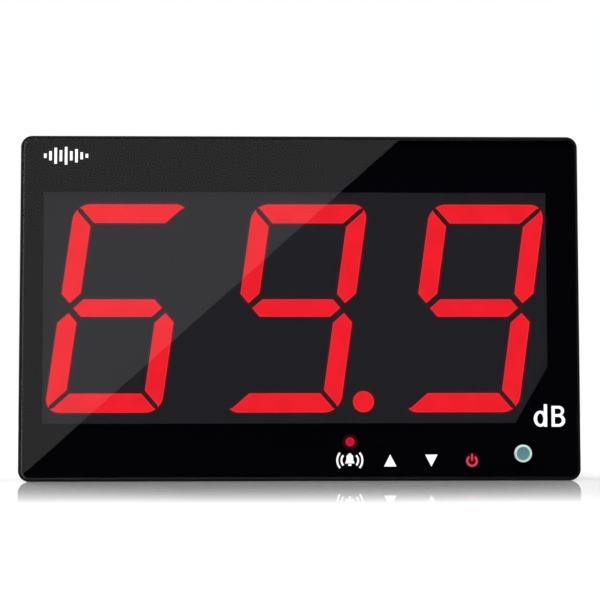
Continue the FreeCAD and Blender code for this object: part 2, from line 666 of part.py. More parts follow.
openings.append(rod_x(JACK_Y, JACK_Z, JACK_BORE_R + 0.2, (SIDE_INNER, side_x[1])))
openings.append(rod_x(TRIMMER_Y, TRIMMER_Z, 2.0, side_x))
LABEL_X = (-108.0, -48.0)
LABEL_Z = (30.0, 66.0)
openings.append(round_plate(LABEL_X, LABEL_Z, 2.0, (BACK_Y - 0.3, BACK_Y + 1)))
nodes["rear_case"] = cut(case, openings)

nodes["case_screws"] = Part.makeCompound(
    [screw(at, HEAD_SEAT, (2.75, 2.2), (SCREW_R, 12.0), -1) for at in CASE_SCREWS])
nodes["rating_label"] = round_plate((LABEL_X[0] + 0.4, LABEL_X[1] - 0.4),
                                    (LABEL_Z[0] + 0.4, LABEL_Z[1] - 0.4), 1.6,
                                    (BACK_Y - 0.3, BACK_Y - 0.1))

# ---- fold-out stand ----------------------------------------------------------------------
LEG_Y = (BACK_Y - LEG_T, BACK_Y)
leg = round_plate((-LEG_W / 2, LEG_W / 2), (LEG_LOW, HINGE_Z), 1.2, LEG_Y)
barrel = rod_x(HINGE_Y, HINGE_Z, BARREL_R, (-LEG_W / 2, LEG_W / 2))
leg = fuse(leg.cut(box((-40, 40), (0, 20), (HINGE_Z, 120))), [barrel])
grips = [box((-18, 18), (BACK_Y - 0.6, BACK_Y + 1), (z, z + 1.2)) for z in (16.0, 19.0, 22.0)]
hollow = round_plate((-21, 21), (34, 84), 3.0, (BACK_Y - 0.8, BACK_Y + 1))
leg = cut(leg, grips + [hollow, rod_x(HINGE_Y, HINGE_Z, PIN_R + RUNNING, (-40, 40))])
nodes["stand_leg"] = leg
nodes["stand_hinge_pin"] = rod_x(HINGE_Y, HINGE_Z, PIN_R, (-PIN_HALF, PIN_HALF))
nodes["stand_foot_pad"] = round_plate((-24, 24), (LEG_LOW - PAD_T, LEG_LOW), 0.8,
                                      (LEG_Y[0] + 0.2, LEG_Y[1] - 0.2))

for name, shape in nodes.items():
    shape.exportStep(f"parts/{name}.step")
print(len(nodes), "nodes,", sum(len(shape.Solids) for shape in nodes.values()), "solids")
for name, shape in nodes.items():
    if not shape.isValid() or not shape.Solids:
        print("not valid:", name)
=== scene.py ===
"""Looks of a large-display sound level meter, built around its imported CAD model, in metres."""
import math

import bmesh
import bpy
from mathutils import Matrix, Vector


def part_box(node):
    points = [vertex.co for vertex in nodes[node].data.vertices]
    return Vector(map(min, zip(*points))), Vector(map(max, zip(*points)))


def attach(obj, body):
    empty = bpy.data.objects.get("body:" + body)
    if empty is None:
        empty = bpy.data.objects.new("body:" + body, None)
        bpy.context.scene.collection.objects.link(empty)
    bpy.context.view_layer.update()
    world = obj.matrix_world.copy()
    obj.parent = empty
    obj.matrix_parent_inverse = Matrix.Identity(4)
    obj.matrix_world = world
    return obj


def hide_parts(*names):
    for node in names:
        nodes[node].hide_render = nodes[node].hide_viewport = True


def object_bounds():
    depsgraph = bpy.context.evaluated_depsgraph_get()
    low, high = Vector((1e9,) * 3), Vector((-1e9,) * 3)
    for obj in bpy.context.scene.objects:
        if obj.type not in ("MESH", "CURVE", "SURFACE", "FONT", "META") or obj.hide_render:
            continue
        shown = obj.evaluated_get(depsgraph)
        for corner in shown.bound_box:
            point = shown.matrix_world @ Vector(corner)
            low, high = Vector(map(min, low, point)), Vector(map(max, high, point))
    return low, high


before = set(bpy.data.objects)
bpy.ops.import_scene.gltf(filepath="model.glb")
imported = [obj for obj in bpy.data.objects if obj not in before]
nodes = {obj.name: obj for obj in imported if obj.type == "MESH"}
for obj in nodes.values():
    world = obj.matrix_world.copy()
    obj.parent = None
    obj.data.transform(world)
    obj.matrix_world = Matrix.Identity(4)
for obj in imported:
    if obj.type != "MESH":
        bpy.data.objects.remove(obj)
cad_low, cad_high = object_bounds()
scene = bpy.context.scene

# ---- camera ----------------------------------------------------------------------------
# A short telephoto lens a little to the left of the meter's middle and low, looking
# slightly up and slightly right, so that the face is seen almost square on.
LENS = 85.2
CAMERA_AT = Vector((-0.01381, -0.64107, 0.04439))
CAMERA_TURN = (93.234, 0.07, -1.243)

camera = bpy.data.objects.new("camera", bpy.data.cameras.new("camera"))
scene.collection.objects.link(camera)
camera.data.lens = LENS
camera.data.sensor_width = 36.0
camera.data.clip_start = 0.02
camera.location = CAMERA_AT
camera.rotation_euler = [math.radians(turn) for turn in CAMERA_TURN]
scene.camera = camera

# ---- front frame -----------------------------------------------------------------------
# The frame that carries everything: one black ABS moulding with a fine spark-eroded
# texture, which breaks the light into a soft sheen and keeps fingerprints away.
MM = 0.001
GRAIN = 0.5 * MM                  # the real texture is about 0.2 mm; coarser, so that it shows
FLOW = 60 * MM                    # how far the melt runs before its tone drifts
RELIEF = 0.1 * MM
SPAN = {1: 0.3, 2: 0.7}           # a Map Range's inputs 1 and 2: most noise lies between these
RGBA = {"data_type": "RGBA"}      # a Mix of colours: factor 0, colours 6 and 7, output 2


def srgb(code):
    """An sRGB hex colour as linear values, with full alpha."""
    values = [int(code[i:i + 2], 16) / 255 for i in (0, 2, 4)]
    return [v / 12.92 if v <= 0.04045 else ((v + 0.055) / 1.055) ** 2.4 for v in values] + [1]


def add(tree, kind, settings=None, inputs=None):
    """A new shader node; inputs are values, sockets, or nodes for their first output."""
    node = tree.nodes.new("ShaderNode" + kind)
    for name, value in (settings or {}).items():
        setattr(node, name, value)
    for name, value in (inputs or {}).items():
        if isinstance(value, bpy.types.Node):
            value = value.outputs[0]
        if isinstance(value, bpy.types.NodeSocket):
            tree.links.new(value, node.inputs[name])
        else:
            node.inputs[name].default_value = value
    return node


def new_material(name):
    """An empty node material, its tree and the Object coordinates."""
    material = bpy.data.materials.new(name)
    material.use_nodes = True
    tree = material.node_tree
    tree.nodes.clear()
    return material, tree, add(tree, "TexCoord").outputs["Object"]


def paint(material, *names):
    """Give CAD nodes their material."""
    for name in names:
        mesh = nodes[name].data
        mesh.materials.clear()
        mesh.materials.append(material)


def moulded(name, low, high, grain, rough, relief, gloss=0.5):
    """Moulded plastic with an even texture in its colour, gloss and relief."""
    material, tree, coord = new_material(name)
    speck = add(tree, "TexNoise", None, {"Vector": coord, "Scale": 1 / grain, "Detail": 2.0,
                                         "Roughness": 0.6})
    flow = add(tree, "TexNoise", None, {"Vector": coord, "Scale": 1 / FLOW, "Detail": 1.0})
    fine = add(tree, "MapRange", None, {0: speck, **SPAN, 3: 0.0, 4: 0.5})
    tone = add(tree, "Math", {"operation": "MULTIPLY_ADD"}, {0: flow, 1: 0.5, 2: fine})
    colour = add(tree, "Mix", RGBA, {0: tone, 6: srgb(low), 7: srgb(high)})
    polish = add(tree, "MapRange", None, {0: speck, **SPAN, 3: rough[0], 4: rough[1]})
    bump = add(tree, "Bump", None, {"Strength": relief, "Distance": RELIEF, "Height": speck})
    shader = add(tree, "BsdfPrincipled", None, {
        "Base Color": colour.outputs[2],
        "Roughness": polish,
        "IOR": 1.53,
        "Specular IOR Level": gloss,
        "Normal": bump})
    add(tree, "OutputMaterial", None, {"Surface": shader})
    return material


textured_abs = moulded("textured_black_abs", "0a0a0c", "131315", GRAIN, (0.42, 0.56), 0.35, 0.22)
paint(textured_abs, "front_frame")

# ---- front panel -----------------------------------------------------------------------
# A 2 mm sheet of clear cast acrylic, laser cut and bevelled by a polishing wheel. Its
# face is flawless and mirrors the room; lamps shine through it on to what lies behind.
ACRYLIC_IOR = 1.49
ACRYLIC_PASSES = 0.92             # share of light that gets through both faces

material, tree, _ = new_material("cast_acrylic")
glass = add(tree, "BsdfPrincipled", None, {
    "Base Color": srgb("fdfdfe"), "Roughness": 0.0, "IOR": ACRYLIC_IOR,
    "Transmission Weight": 1.0})
clear = add(tree, "BsdfTransparent", None, {"Color": srgb("f6f6f8")})
ray = add(tree, "LightPath")
through = add(tree, "MixShader", None, {0: ray.outputs["Is Shadow Ray"], 1: glass, 2: clear})
add(tree, "OutputMaterial", None, {"Surface": through})
paint(material, "front_panel")

# ---- border print ----------------------------------------------------------------------
# Black ink screen printed on the back of the panel, with the window left clear. Red light
# leaks a little way through the ink round the lamp and round the power sign; that leak is
# painted into the ink as a red glow.
SCREEN_MESH = 0.8 * MM            # the screen's mesh is about 0.1 mm; coarser, so that it shows
LAMP_R = 1.7 * MM                 # round the lamp the leak starts to fade here
SIGN_R = 1.9 * MM                 # and round the power sign here
LEAK_R = 3.6 * MM                 # where it has died out round both


def middle(name):
    """The middle of a CAD node's box."""
    low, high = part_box(name)
    return (low + high) / 2


def from_axis(tree, coord, at):
    """Distance from a line along Y through a point."""
    local = add(tree, "Mapping", None, {
        "Vector": coord, "Location": (-at.x, 0, -at.z), "Scale": (1, 0, 1)})
    return add(tree, "VectorMath", {"operation": "LENGTH"}, {0: local}).outputs["Value"]


material, tree, coord = new_material("black_screen_ink")
mesh_mark = add(tree, "TexNoise", None, {"Vector": coord, "Scale": 1 / SCREEN_MESH})
colour = add(tree, "Mix", RGBA, {0: mesh_mark, 6: srgb("0c0b12"), 7: srgb("100f17")})
to_lamp = from_axis(tree, coord, middle("alarm_led"))
to_sign = from_axis(tree, coord, middle("power_legend"))
# painted glow: the ink itself emits red round the lamp and round the power sign
lamp_leak = add(tree, "MapRange", None, {0: to_lamp, 1: LAMP_R, 2: LEAK_R, 3: 1.0, 4: 0.0})
sign_leak = add(tree, "MapRange", None, {0: to_sign, 1: SIGN_R, 2: LEAK_R, 3: 1.0, 4: 0.0})
leak = add(tree, "Math", {"operation": "ADD"}, {0: lamp_leak, 1: sign_leak})
shader = add(tree, "BsdfPrincipled", None, {
    "Base Color": colour.outputs[2],
    "Roughness": 0.6,
    "Specular IOR Level": 0.0,
    "Emission Color": srgb("640000"),
    "Emission Strength": leak})
add(tree, "OutputMaterial", None, {"Surface": shader})
paint(material, "border_print")

# ---- white prints ----------------------------------------------------------------------
# White ink filled into gaps of the black: the key signs, the unit letters and the plain
# row of bars at the top. Small lamps behind the signs make them glow evenly; that glow is
# painted into the ink as emission.
PIGMENT = 0.6 * MM                # clumps of pigment are far finer; coarser, so that they show

material, tree, coord = new_material("white_screen_ink")
mottle = add(tree, "TexNoise", None, {"Vector": coord, "Scale": 1 / PIGMENT, "Detail": 3.0})
colour = add(tree, "Mix", RGBA, {0: mottle, 6: srgb("8c8c8e"), 7: srgb("9c9c9c")})
# painted glow: the ink's emission rises and falls a little with the pigment's mottle
strength = add(tree, "MapRange", None, {0: mottle, **SPAN, 3: 0.74, 4: 0.84})
shader = add(tree, "BsdfPrincipled", None, {
    "Base Color": colour.outputs[2],
    "Roughness": 0.55,
    "Specular IOR Level": 0.2,
    "Emission Color": srgb("ffffff"),
    "Emission Strength": strength})
add(tree, "OutputMaterial", None, {"Surface": shader})
paint(material, "key_legends", "unit_legend", "face_mark")

# ---- power sign ------------------------------------------------------------------------
# Translucent red ink over its own red lamp. Its glow is painted into the ink as emission:
# the ring is brightest, and the short upright bar, which lies further from the lamp, is dull.
DULL_BAR = 1.6 * MM               # the dull part, measured down from the top
RED_PIGMENT = 0.5 * MM            # finer in real ink; coarser, so that it shows

material, tree, coord = new_material("red_screen_ink")
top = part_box("power_legend")[1].z
height = add(tree, "SeparateXYZ", None, {0: coord}).outputs[2]
# painted glow, dimmer and greyer towards the top of the upright bar
dull = add(tree, "MapRange", None, {0: height, 1: top - DULL_BAR, 2: top, 3: 0.0, 4: 1.0})
mottle = add(tree, "TexNoise", None, {"Vector": coord, "Scale": 1 / RED_PIGMENT})
colour = add(tree, "Mix", RGBA, {0: mottle, 6: srgb("70101c"), 7: srgb("80141f")})
glow = add(tree, "Mix", RGBA, {0: dull, 6: srgb("ac4858"), 7: srgb("905050")})
shader = add(tree, "BsdfPrincipled", None, {
    "Base Color": colour.outputs[2],
    "Roughness": 0.55,
    "Specular IOR Level": 0.2,
    "Emission Color": glow.outputs[2],
    "Emission Strength": 1 / ACRYLIC_PASSES})
add(tree, "OutputMaterial", None, {"Surface": shader})
paint(material, "power_legend")

# ---- panel tape ------------------------------------------------------------------------
# Die-cut foam tape that sticks the panel to the frame: black polyethylene foam whose cut
# edge shows its open cells.
CELL = 0.35 * MM                  # the foam's own cell size
CELL_DEPTH = 0.2 * MM

material, tree, coord = new_material("die_cut_foam_tape")
cells = add(tree, "TexVoronoi", None, {"Vector": coord, "Scale": 1 / CELL})
bump = add(tree, "Bump", None, {"Strength": 0.8, "Distance": CELL_DEPTH, "Height": cells})
# painted shade: each cell is darker in its middle, where the bump sinks into a pore
colour = add(tree, "Mix", RGBA, {0: cells, 6: srgb("0c0c0c"), 7: srgb("1e1e1f")})
shader = add(tree, "BsdfPrincipled", None, {
    "Base Color": colour.outputs[2],
    "Roughness": 0.95,
    "Normal": bump})
add(tree, "OutputMaterial", None, {"Surface": shader})
paint(material, "panel_tape")

# ---- display housing -------------------------------------------------------------------
# The block that the digits are cast into, moulded in dark grey ABS. Its face is printed
# matt, so it reads as one even grey behind the panel, and unlit bars vanish in it.
PRINT_GRAIN = 0.7 * MM            # matting grit is about 0.05 mm; coarser, so that it shows

matt_face = moulded("matt_printed_abs", "2b2b2f", "303035", PRINT_GRAIN, (0.75, 0.9), 0.1,
                    0.05)
paint(matt_face, "display_housing")

# ---- digit bars and decimal point --------------------------------------------------------
# Light guides of red-tinted epoxy, cast with a diffusing powder. The edge of a lit bar
# lies over the cavity's sloping wall, and the shade there is painted as a dull dark red
# glow; unlit bars are smoky.
LIT = {1: "acdefg", 2: "abcdfg", 3: "abcdfg"}          # the lit bars of each digit: 69.9
POWDER = 1.2 * MM                 # clouds that the mixing leaves in the diffusing powder

material, tree, coord = new_material("red_epoxy_edge_painted_shade")
powder = add(tree, "TexNoise", None, {"Vector": coord, "Scale": 1 / POWDER})
colour = add(tree, "Mix", RGBA, {0: powder, 6: srgb("200305"), 7: srgb("2a0407")})
strength = add(tree, "MapRange", None, {0: powder, **SPAN, 3: 0.95, 4: 1.15})
# painted shade: the bar's edge glows a dim dark red instead of being shaded by the wall
shader = add(tree, "BsdfPrincipled", None, {
    "Base Color": colour.outputs[2],
    "Roughness": 0.5,
    "Specular IOR Level": 0.02,
    "Emission Color": srgb("55090e"),
    "Emission Strength": strength})
add(tree, "OutputMaterial", None, {"Surface": shader})
lit_edge_painted_shade = material

unlit_epoxy = moulded("smoky_unlit_epoxy", "2b2b2f", "303035", POWDER, (0.75, 0.9), 0.05,
                      0.05)
for digit in LIT:
    for letter in "abcdefg":
        bar_material = lit_edge_painted_shade if letter in LIT[digit] else unlit_epoxy
        paint(bar_material, f"digit_{digit}_segment_{letter}")
paint(lit_edge_painted_shade, "decimal_point")

# ---- lit faces ---------------------------------------------------------------------------
# The part of each lit bar that shines evenly: the epoxy's face inside the cavity's edge,
# faintly uneven over its lamps. The resin has crept up all round it as it cured, and that
# line catches white light; that highlight is painted on it as a paler pink glow.
STRIP = 0.4 * MM                  # width of the line; the cavity's edge is two such strips
EDGE_STRIPS = 2
FACE_LIFT = 0.06 * MM             # clear of the light guide's own face
FACE_T = 0.1 * MM
POOL = 9 * MM                     # a little under the spacing of the lamps behind a bar
# the crept line's painted highlight swells and fades along it at this spacing
HIGHLIGHT_WAVER = 4 * MM                    # how often the crept line gets thicker and thinner

material, tree, coord = new_material("lit_red_epoxy")
pools = add(tree, "TexNoise", None, {"Vector": coord, "Scale": 1 / POOL, "Detail": 0.0})
colour = add(tree, "Mix", RGBA, {0: pools, 6: srgb("200305"), 7: srgb("2a0407")})
strength = add(tree, "MapRange", None, {0: pools, **SPAN, 3: 1.05, 4: 1.12})
shader = add(tree, "BsdfPrincipled", None, {
    "Base Color": colour.outputs[2],
    "Roughness": 0.5,
    "Specular IOR Level": 0.02,
    "Emission Color": srgb("ef1f2b"),
    "Emission Strength": strength})
add(tree, "OutputMaterial", None, {"Surface": shader})
lit_face = material

material, tree, coord = new_material("pale_line_painted_highlight")
highlight_waver = add(tree, "TexNoise", None, {"Vector": coord, "Scale": 1 / HIGHLIGHT_WAVER})
strength = add(tree, "MapRange", None, {0: highlight_waver, **SPAN, 3: 0.9, 4: 1.05})
# painted highlight: the crept line glows a pale pink
shader = add(tree, "BsdfPrincipled", None, {
    "Base Color": srgb("2a0407"),
    "Roughness": 0.4,
    "Specular IOR Level": 0.02,
    "Emission Color": srgb("c8404e"),
    "Emission Strength": strength})
add(tree, "OutputMaterial", None, {"Surface": shader})
crept_line_painted_highlight = material


def lit_face_of(name, piece_name):
    """A thin plate inside the front outline of a light guide, just proud of its face."""
    bm = bmesh.new()
    bm.from_mesh(nodes[name].data)
    bmesh.ops.remove_doubles(bm, verts=bm.verts, dist=0.001 * MM)
    behind = [face for face in bm.faces if face.normal.y > -0.99]
    bmesh.ops.delete(bm, geom=behind, context="FACES")
    bmesh.ops.dissolve_faces(bm, faces=bm.faces[:], use_verts=False)
    outline = {edge for edge in bm.edges if edge.is_boundary}
    ring = bmesh.ops.inset_region(bm, faces=bm.faces[:], thickness=(EDGE_STRIPS + 1) * STRIP,
                                  use_boundary=True, use_even_offset=True)["faces"]
    core = next(face for face in bm.faces if face not in set(ring))
    across = {edge for face in ring for edge in face.edges} - outline - set(core.edges)
    bmesh.ops.subdivide_edges(bm, edges=list(across), cuts=EDGE_STRIPS, use_grid_fill=True)
    for _ in range(EDGE_STRIPS):
        outer = {edge.link_faces[0] for edge in bm.edges if edge.is_boundary}
        bmesh.ops.delete(bm, geom=list(outer), context="FACES")
    # the outermost strip gets the crept line's painted highlight
    for edge in bm.edges:
        if edge.is_boundary:
            edge.link_faces[0].material_index = 1
    bmesh.ops.translate(bm, verts=bm.verts, vec=(0, -FACE_LIFT, 0))
    sides = bmesh.ops.extrude_face_region(bm, geom=bm.faces[:])
    back = [item for item in sides["geom"] if isinstance(item, bmesh.types.BMVert)]
    bmesh.ops.translate(bm, verts=back, vec=(0, FACE_T, 0))
    bmesh.ops.recalc_face_normals(bm, faces=bm.faces)
    mesh = bpy.data.meshes.new(piece_name)
    bm.to_mesh(mesh)
    bm.free()
    mesh.materials.append(lit_face)
    mesh.materials.append(crept_line_painted_highlight)
    piece = bpy.data.objects.new(piece_name, mesh)
    scene.collection.objects.link(piece)
    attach(piece, "meter")


for digit in LIT:
    for letter in LIT[digit]:
        lit_face_of(f"digit_{digit}_segment_{letter}", f"lit_face_{digit}{letter}")
lit_face_of("decimal_point", "lit_face_point")

# ---- LED chips ---------------------------------------------------------------------------
# Small surface-mount LEDs behind the bars and the signs: a white ceramic body with a pale
# yellow resin well.
WELL = 0.9 * MM                   # the resin well's width

material, tree, coord = new_material("led_ceramic")
wells = add(tree, "TexNoise", None, {"Vector": coord, "Scale": 1 / WELL})
colour = add(tree, "Mix", RGBA, {0: wells, 6: srgb("e9e2c4"), 7: srgb("f3f1e6")})
polish = add(tree, "MapRange", None, {0: wells, **SPAN, 3: 0.25, 4: 0.45})
shader = add(tree, "BsdfPrincipled", None, {
    "Base Color": colour.outputs[2],
    "Roughness": polish,
    "IOR": 1.6})
add(tree, "OutputMaterial", None, {"Surface": shader})
paint(material, "display_leds", "legend_leds")

# ---- circuit boards ----------------------------------------------------------------------
# Glass-fibre board under green solder mask. The copper tracks below the mask stand a
# little proud and look lighter; the mask itself is glossy.
TRACK = 2.54 * MM                 # the pitch of parts' legs, and so of the tracks
TRACK_W = 0.28 * MM
COPPER_T = 0.05 * MM

material, tree, coord = new_material("solder_mask_board")
flat = add(tree, "Mapping", None, {"Vector": coord, "Rotation": (math.radians(90), 0, 0)})
tracks = add(tree, "TexBrick", {"offset": 0.5, "squash": 1.0}, {
    "Vector": flat, "Scale": 1.0, "Mortar Size": TRACK_W, "Mortar Smooth": 0.1,
    "Brick Width": 5 * TRACK, "Row Height": TRACK,
    "Color1": srgb("0f4a24"), "Color2": srgb("11502a"), "Mortar": srgb("2b7a3f")})
bump = add(tree, "Bump", None, {"Strength": 0.4, "Distance": COPPER_T,
                                "Height": tracks.outputs["Fac"]})
shader = add(tree, "BsdfPrincipled", None, {
    "Base Color": tracks.outputs["Color"],
    "Roughness": 0.28,
    "IOR": 1.55,
    "Normal": bump})
add(tree, "OutputMaterial", None, {"Surface": shader})
paint(material, "display_board", "main_board")

# ---- screws, springs and pin --------------------------------------------------------------
# Cold-headed steel, zinc plated: a cool grey with a slight haze and fine lines where the
# tool and the plating rack have touched it.
TOOL_LINE = 2.5 * MM              # a tool line's length; it is a twelfth as wide

material, tree, coord = new_material("zinc_plated_steel")
drawn = add(tree, "Mapping", None, {"Vector": coord, "Scale": (1, 12, 1)})
lines = add(tree, "TexNoise", None, {"Vector": drawn, "Scale": 1 / TOOL_LINE, "Detail": 4.0})
colour = add(tree, "Mix", RGBA, {0: lines, 6: srgb("9a9ca0"), 7: srgb("c2c4c8")})
polish = add(tree, "MapRange", None, {0: lines, **SPAN, 3: 0.22, 4: 0.42})
shader = add(tree, "BsdfPrincipled", None, {
    "Base Color": colour.outputs[2],
    "Metallic": 1.0,
    "Roughness": polish})
add(tree, "OutputMaterial", None, {"Surface": shader})
paint(material, "case_screws", "display_board_screws", "main_board_screws", "touch_springs",
      "stand_hinge_pin")

# ---- alarm lamp ----------------------------------------------------------------------------
# A round LED, 3.7 mm across, cast in red epoxy and pushed up to the panel. It is lit: a
# saturated middle with a paler ring at its rim.
CORE_R = 1.1 * MM
RING_R = 1.8 * MM
HAZE = 0.7 * MM                   # the powder's haze is finer; coarser, so that it shows

material, tree, coord = new_material("lit_led_epoxy")
reach = from_axis(tree, coord, middle("alarm_led"))
ring = add(tree, "MapRange", None, {0: reach, 1: CORE_R, 2: RING_R, 3: 0.0, 4: 1.0})
haze = add(tree, "TexNoise", None, {"Vector": coord, "Scale": 1 / HAZE})
colour = add(tree, "Mix", RGBA, {0: haze, 6: srgb("300208"), 7: srgb("3a0309")})
glow = add(tree, "Mix", RGBA, {0: ring, 6: srgb("cc0c2c"), 7: srgb("b8304c")})
shader = add(tree, "BsdfPrincipled", None, {
    "Base Color": colour.outputs[2],
    "Roughness": 0.3,
    "Specular IOR Level": 0.05,
    "Emission Color": glow.outputs[2],
    "Emission Strength": 1 / ACRYLIC_PASSES})
add(tree, "OutputMaterial", None, {"Surface": shader})
paint(material, "alarm_led")

# ---- microphone ----------------------------------------------------------------------------
# A turned ring, plated in satin nickel, stands in the panel. Behind it are a woven gauze,
# the capsule in its drawn aluminium can, and the soft rubber boot that keeps knocks out.
# The ring looks pale from everywhere, so it is little metallic and has a faint painted glow.
TURNING = 2.2 * MM                # real turning marks are 0.1 mm; coarser, so that they show
TURNING_DEPTH = 0.02 * MM

material, tree, coord = new_material("turned_nickel_plate")
centred = add(tree, "Mapping", None, {"Vector": coord, "Location": -middle("microphone_ring")})
turned = add(tree, "TexWave", {"wave_type": "RINGS", "rings_direction": "Y"}, {
    "Vector": centred, "Scale": 1 / TURNING, "Distortion": 0.4}).outputs[1]
bump = add(tree, "Bump", None, {"Strength": 0.12, "Distance": TURNING_DEPTH, "Height": turned})
colour = add(tree, "Mix", RGBA, {0: turned, 6: srgb("d2e6e0"), 7: srgb("e0efea")})
shader = add(tree, "BsdfPrincipled", None, {
    "Base Color": colour.outputs[2],
    "Metallic": 0.35,
    "Roughness": 0.45,
    # painted glow that lightens the ring
    "Emission Color": srgb("b4cac4"),
    "Emission Strength": 0.3,
    "Normal": bump})
add(tree, "OutputMaterial", None, {"Surface": shader})
paint(material, "microphone_ring", "crystal")

WIRES = 15                        # real gauze is finer; coarser, so that the weave shows
WIRE_R = 0.085 * MM
WEAVE = 0.07 * MM                 # how far a wire swings to pass over and under
STEPS_PER_WIRE = 4
DUST = 0.5 * MM                   # patches of dust between the wires

material, tree, coord = new_material("woven_steel_gauze")
dust = add(tree, "TexNoise", None, {"Vector": coord, "Scale": 1 / DUST})
colour = add(tree, "Mix", RGBA, {0: dust, 6: srgb("78aab0"), 7: srgb("92c2c6")})
# The gauze has a faint painted glow as well, which lightens it.
shader = add(tree, "BsdfPrincipled", None, {
    "Base Color": colour.outputs[2],
    "Metallic": 0.6,
    "Roughness": 0.45,
    "Emission Color": srgb("4a7478"),
    "Emission Strength": 0.4})
add(tree, "OutputMaterial", None, {"Surface": shader})
steel_gauze = material

gauze_at = middle("microphone_gauze")
gauze_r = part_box("microphone_gauze")[1].x - gauze_at.x
pitch = 2 * gauze_r / WIRES


def weave_wire(bm, along, across, off, phase):
    """One wire of the gauze: a square section swept over and under its neighbours."""
    half = math.sqrt(gauze_r ** 2 - off ** 2)
    steps = round(2 * half / pitch * STEPS_PER_WIRE)
    loop = []
    start = gauze_at + across * off - along * half
    for corner in ((-1, -1), (1, -1), (1, 1), (-1, 1)):
        place = start + across * corner[0] * WIRE_R + Vector((0, corner[1] * WIRE_R, 0))
        loop.append(bm.verts.new(place))
    edges = [bm.edges.new((loop[i], loop[(i + 1) % 4])) for i in range(4)]
    bm.faces.new(loop)
    step = 2 * half / steps
    travel = -half
    height = WEAVE * math.cos(math.pi * travel / pitch + phase)
    bmesh.ops.translate(bm, verts=loop, vec=(0, height, 0))
    for _ in range(steps):
        travel += step
        rise = WEAVE * math.cos(math.pi * travel / pitch + phase)
        grown = bmesh.ops.extrude_edge_only(bm, edges=edges)["geom"]
        edges = [item for item in grown if isinstance(item, bmesh.types.BMEdge)
                 and all(v in grown for v in item.verts) and len(item.link_faces) == 1]
        verts = [item for item in grown if isinstance(item, bmesh.types.BMVert)]
        bmesh.ops.translate(bm, verts=verts, vec=along * step + Vector((0, rise - height, 0)))
        height = rise
    bmesh.ops.contextual_create(bm, geom=edges)


bm = bmesh.new()
RIGHT = Vector((1, 0, 0))
UP = Vector((0, 0, 1))
for i in range(WIRES):
    off = (i - (WIRES - 1) / 2) * pitch
    weave_wire(bm, RIGHT, UP, off, math.pi * i)
    weave_wire(bm, UP, RIGHT, off, math.pi * (i + 1))
bmesh.ops.recalc_face_normals(bm, faces=bm.faces)
mesh = bpy.data.meshes.new("gauze_weave")
bm.to_mesh(mesh)
bm.free()
mesh.materials.append(steel_gauze)
gauze = bpy.data.objects.new("gauze_weave", mesh)
scene.collection.objects.link(gauze)
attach(gauze, "meter")
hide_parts("microphone_gauze")

DRAW_LINE = 4 * MM                # a drawing line's length; it is an eighth as wide

material, tree, coord = new_material("drawn_aluminium")
along_can = add(tree, "Mapping", None, {"Vector": coord, "Scale": (8, 1, 8)})
draw = add(tree, "TexNoise", None, {"Vector": along_can, "Scale": 1 / DRAW_LINE, "Detail": 3.0})
colour = add(tree, "Mix", RGBA, {0: draw, 6: srgb("a9b0b2"), 7: srgb("c9cfd0")})
polish = add(tree, "MapRange", None, {0: draw, **SPAN, 3: 0.28, 4: 0.42})
shader = add(tree, "BsdfPrincipled", None, {
    "Base Color": colour.outputs[2],
    "Metallic": 1.0,
    "Roughness": polish})
add(tree, "OutputMaterial", None, {"Surface": shader})
paint(material, "capacitors", "microphone_capsule")

BLOOM = 0.8 * MM                  # patches of the rubber's pale bloom
BLOOM_RELIEF = 0.08 * MM

material, tree, coord = new_material("moulded_rubber")
bloom = add(tree, "TexNoise", None, {"Vector": coord, "Scale": 1 / BLOOM, "Detail": 4.0})
bump = add(tree, "Bump", None, {"Strength": 0.4, "Distance": BLOOM_RELIEF, "Height": bloom})
colour = add(tree, "Mix", RGBA, {0: bloom, 6: srgb("141414"), 7: srgb("262627")})
polish = add(tree, "MapRange", None, {0: bloom, **SPAN, 3: 0.7, 4: 0.9})
shader = add(tree, "BsdfPrincipled", None, {
    "Base Color": colour.outputs[2],
    "Roughness": polish,
    "Sheen Weight": 0.15,
    "Normal": bump})
add(tree, "OutputMaterial", None, {"Surface": shader})
rubber = material
paint(rubber, "microphone_boot")

# ---- parts on the main board ----------------------------------------------------------------
# Chips, buzzer, header and inlet are black moulded resin with a satin skin; their pins are
# brass. The trimmer's body is blue nylon.
FILLER = 0.4 * MM                 # the resin's glass filler; coarser than real, to show
NYLON_GRAIN = 0.5 * MM            # coarser than real, too
TARNISH = 1.5 * MM                # spots of tarnish on the brass

resin = moulded("moulded_black_resin", "0e0e0f", "1a1a1b", FILLER, (0.35, 0.5), 0.2)
paint(resin, "microcontroller", "display_driver_chips", "buzzer", "board_header", "power_jack")
nylon = moulded("moulded_blue_nylon", "12388c", "1b469f", NYLON_GRAIN, (0.4, 0.55), 0.2)
paint(nylon, "trimmer_body")

material, tree, coord = new_material("turned_brass")
tarnish = add(tree, "TexNoise", None, {"Vector": coord, "Scale": 1 / TARNISH, "Detail": 3.0})
colour = add(tree, "Mix", RGBA, {0: tarnish, 6: srgb("b8923c"), 7: srgb("dcbb66")})
polish = add(tree, "MapRange", None, {0: tarnish, **SPAN, 3: 0.2, 4: 0.38})
shader = add(tree, "BsdfPrincipled", None, {
    "Base Color": colour.outputs[2],
    "Metallic": 1.0,
    "Roughness": polish})
add(tree, "OutputMaterial", None, {"Surface": shader})
paint(material, "board_header_pins", "power_jack_pin", "trimmer_rotor")

# ---- rear case and stand ---------------------------------------------------------------------
# The back shell and the fold-out leg are moulded in the same textured ABS as the frame.
# A soft rubber pad on the leg's end keeps it from sliding.
paint(textured_abs, "rear_case", "stand_leg")
paint(rubber, "stand_foot_pad")

# ---- rating label ----------------------------------------------------------------------------
# Matt silver polyester film, left blank but for a thin printed border and plain rules, as
# on a form that is still to be filled in.
LABEL_EDGE = 1.6 * MM             # from the label's cut edge to its border line
RULES_IN = 3.52 * MM              # from the cut edge to the ends of the rules
RULE = 0.25 * MM
RULE_PITCH = 5.6 * MM
FIBRE = 0.9 * MM                  # the film's matting is finer; coarser, so that it shows

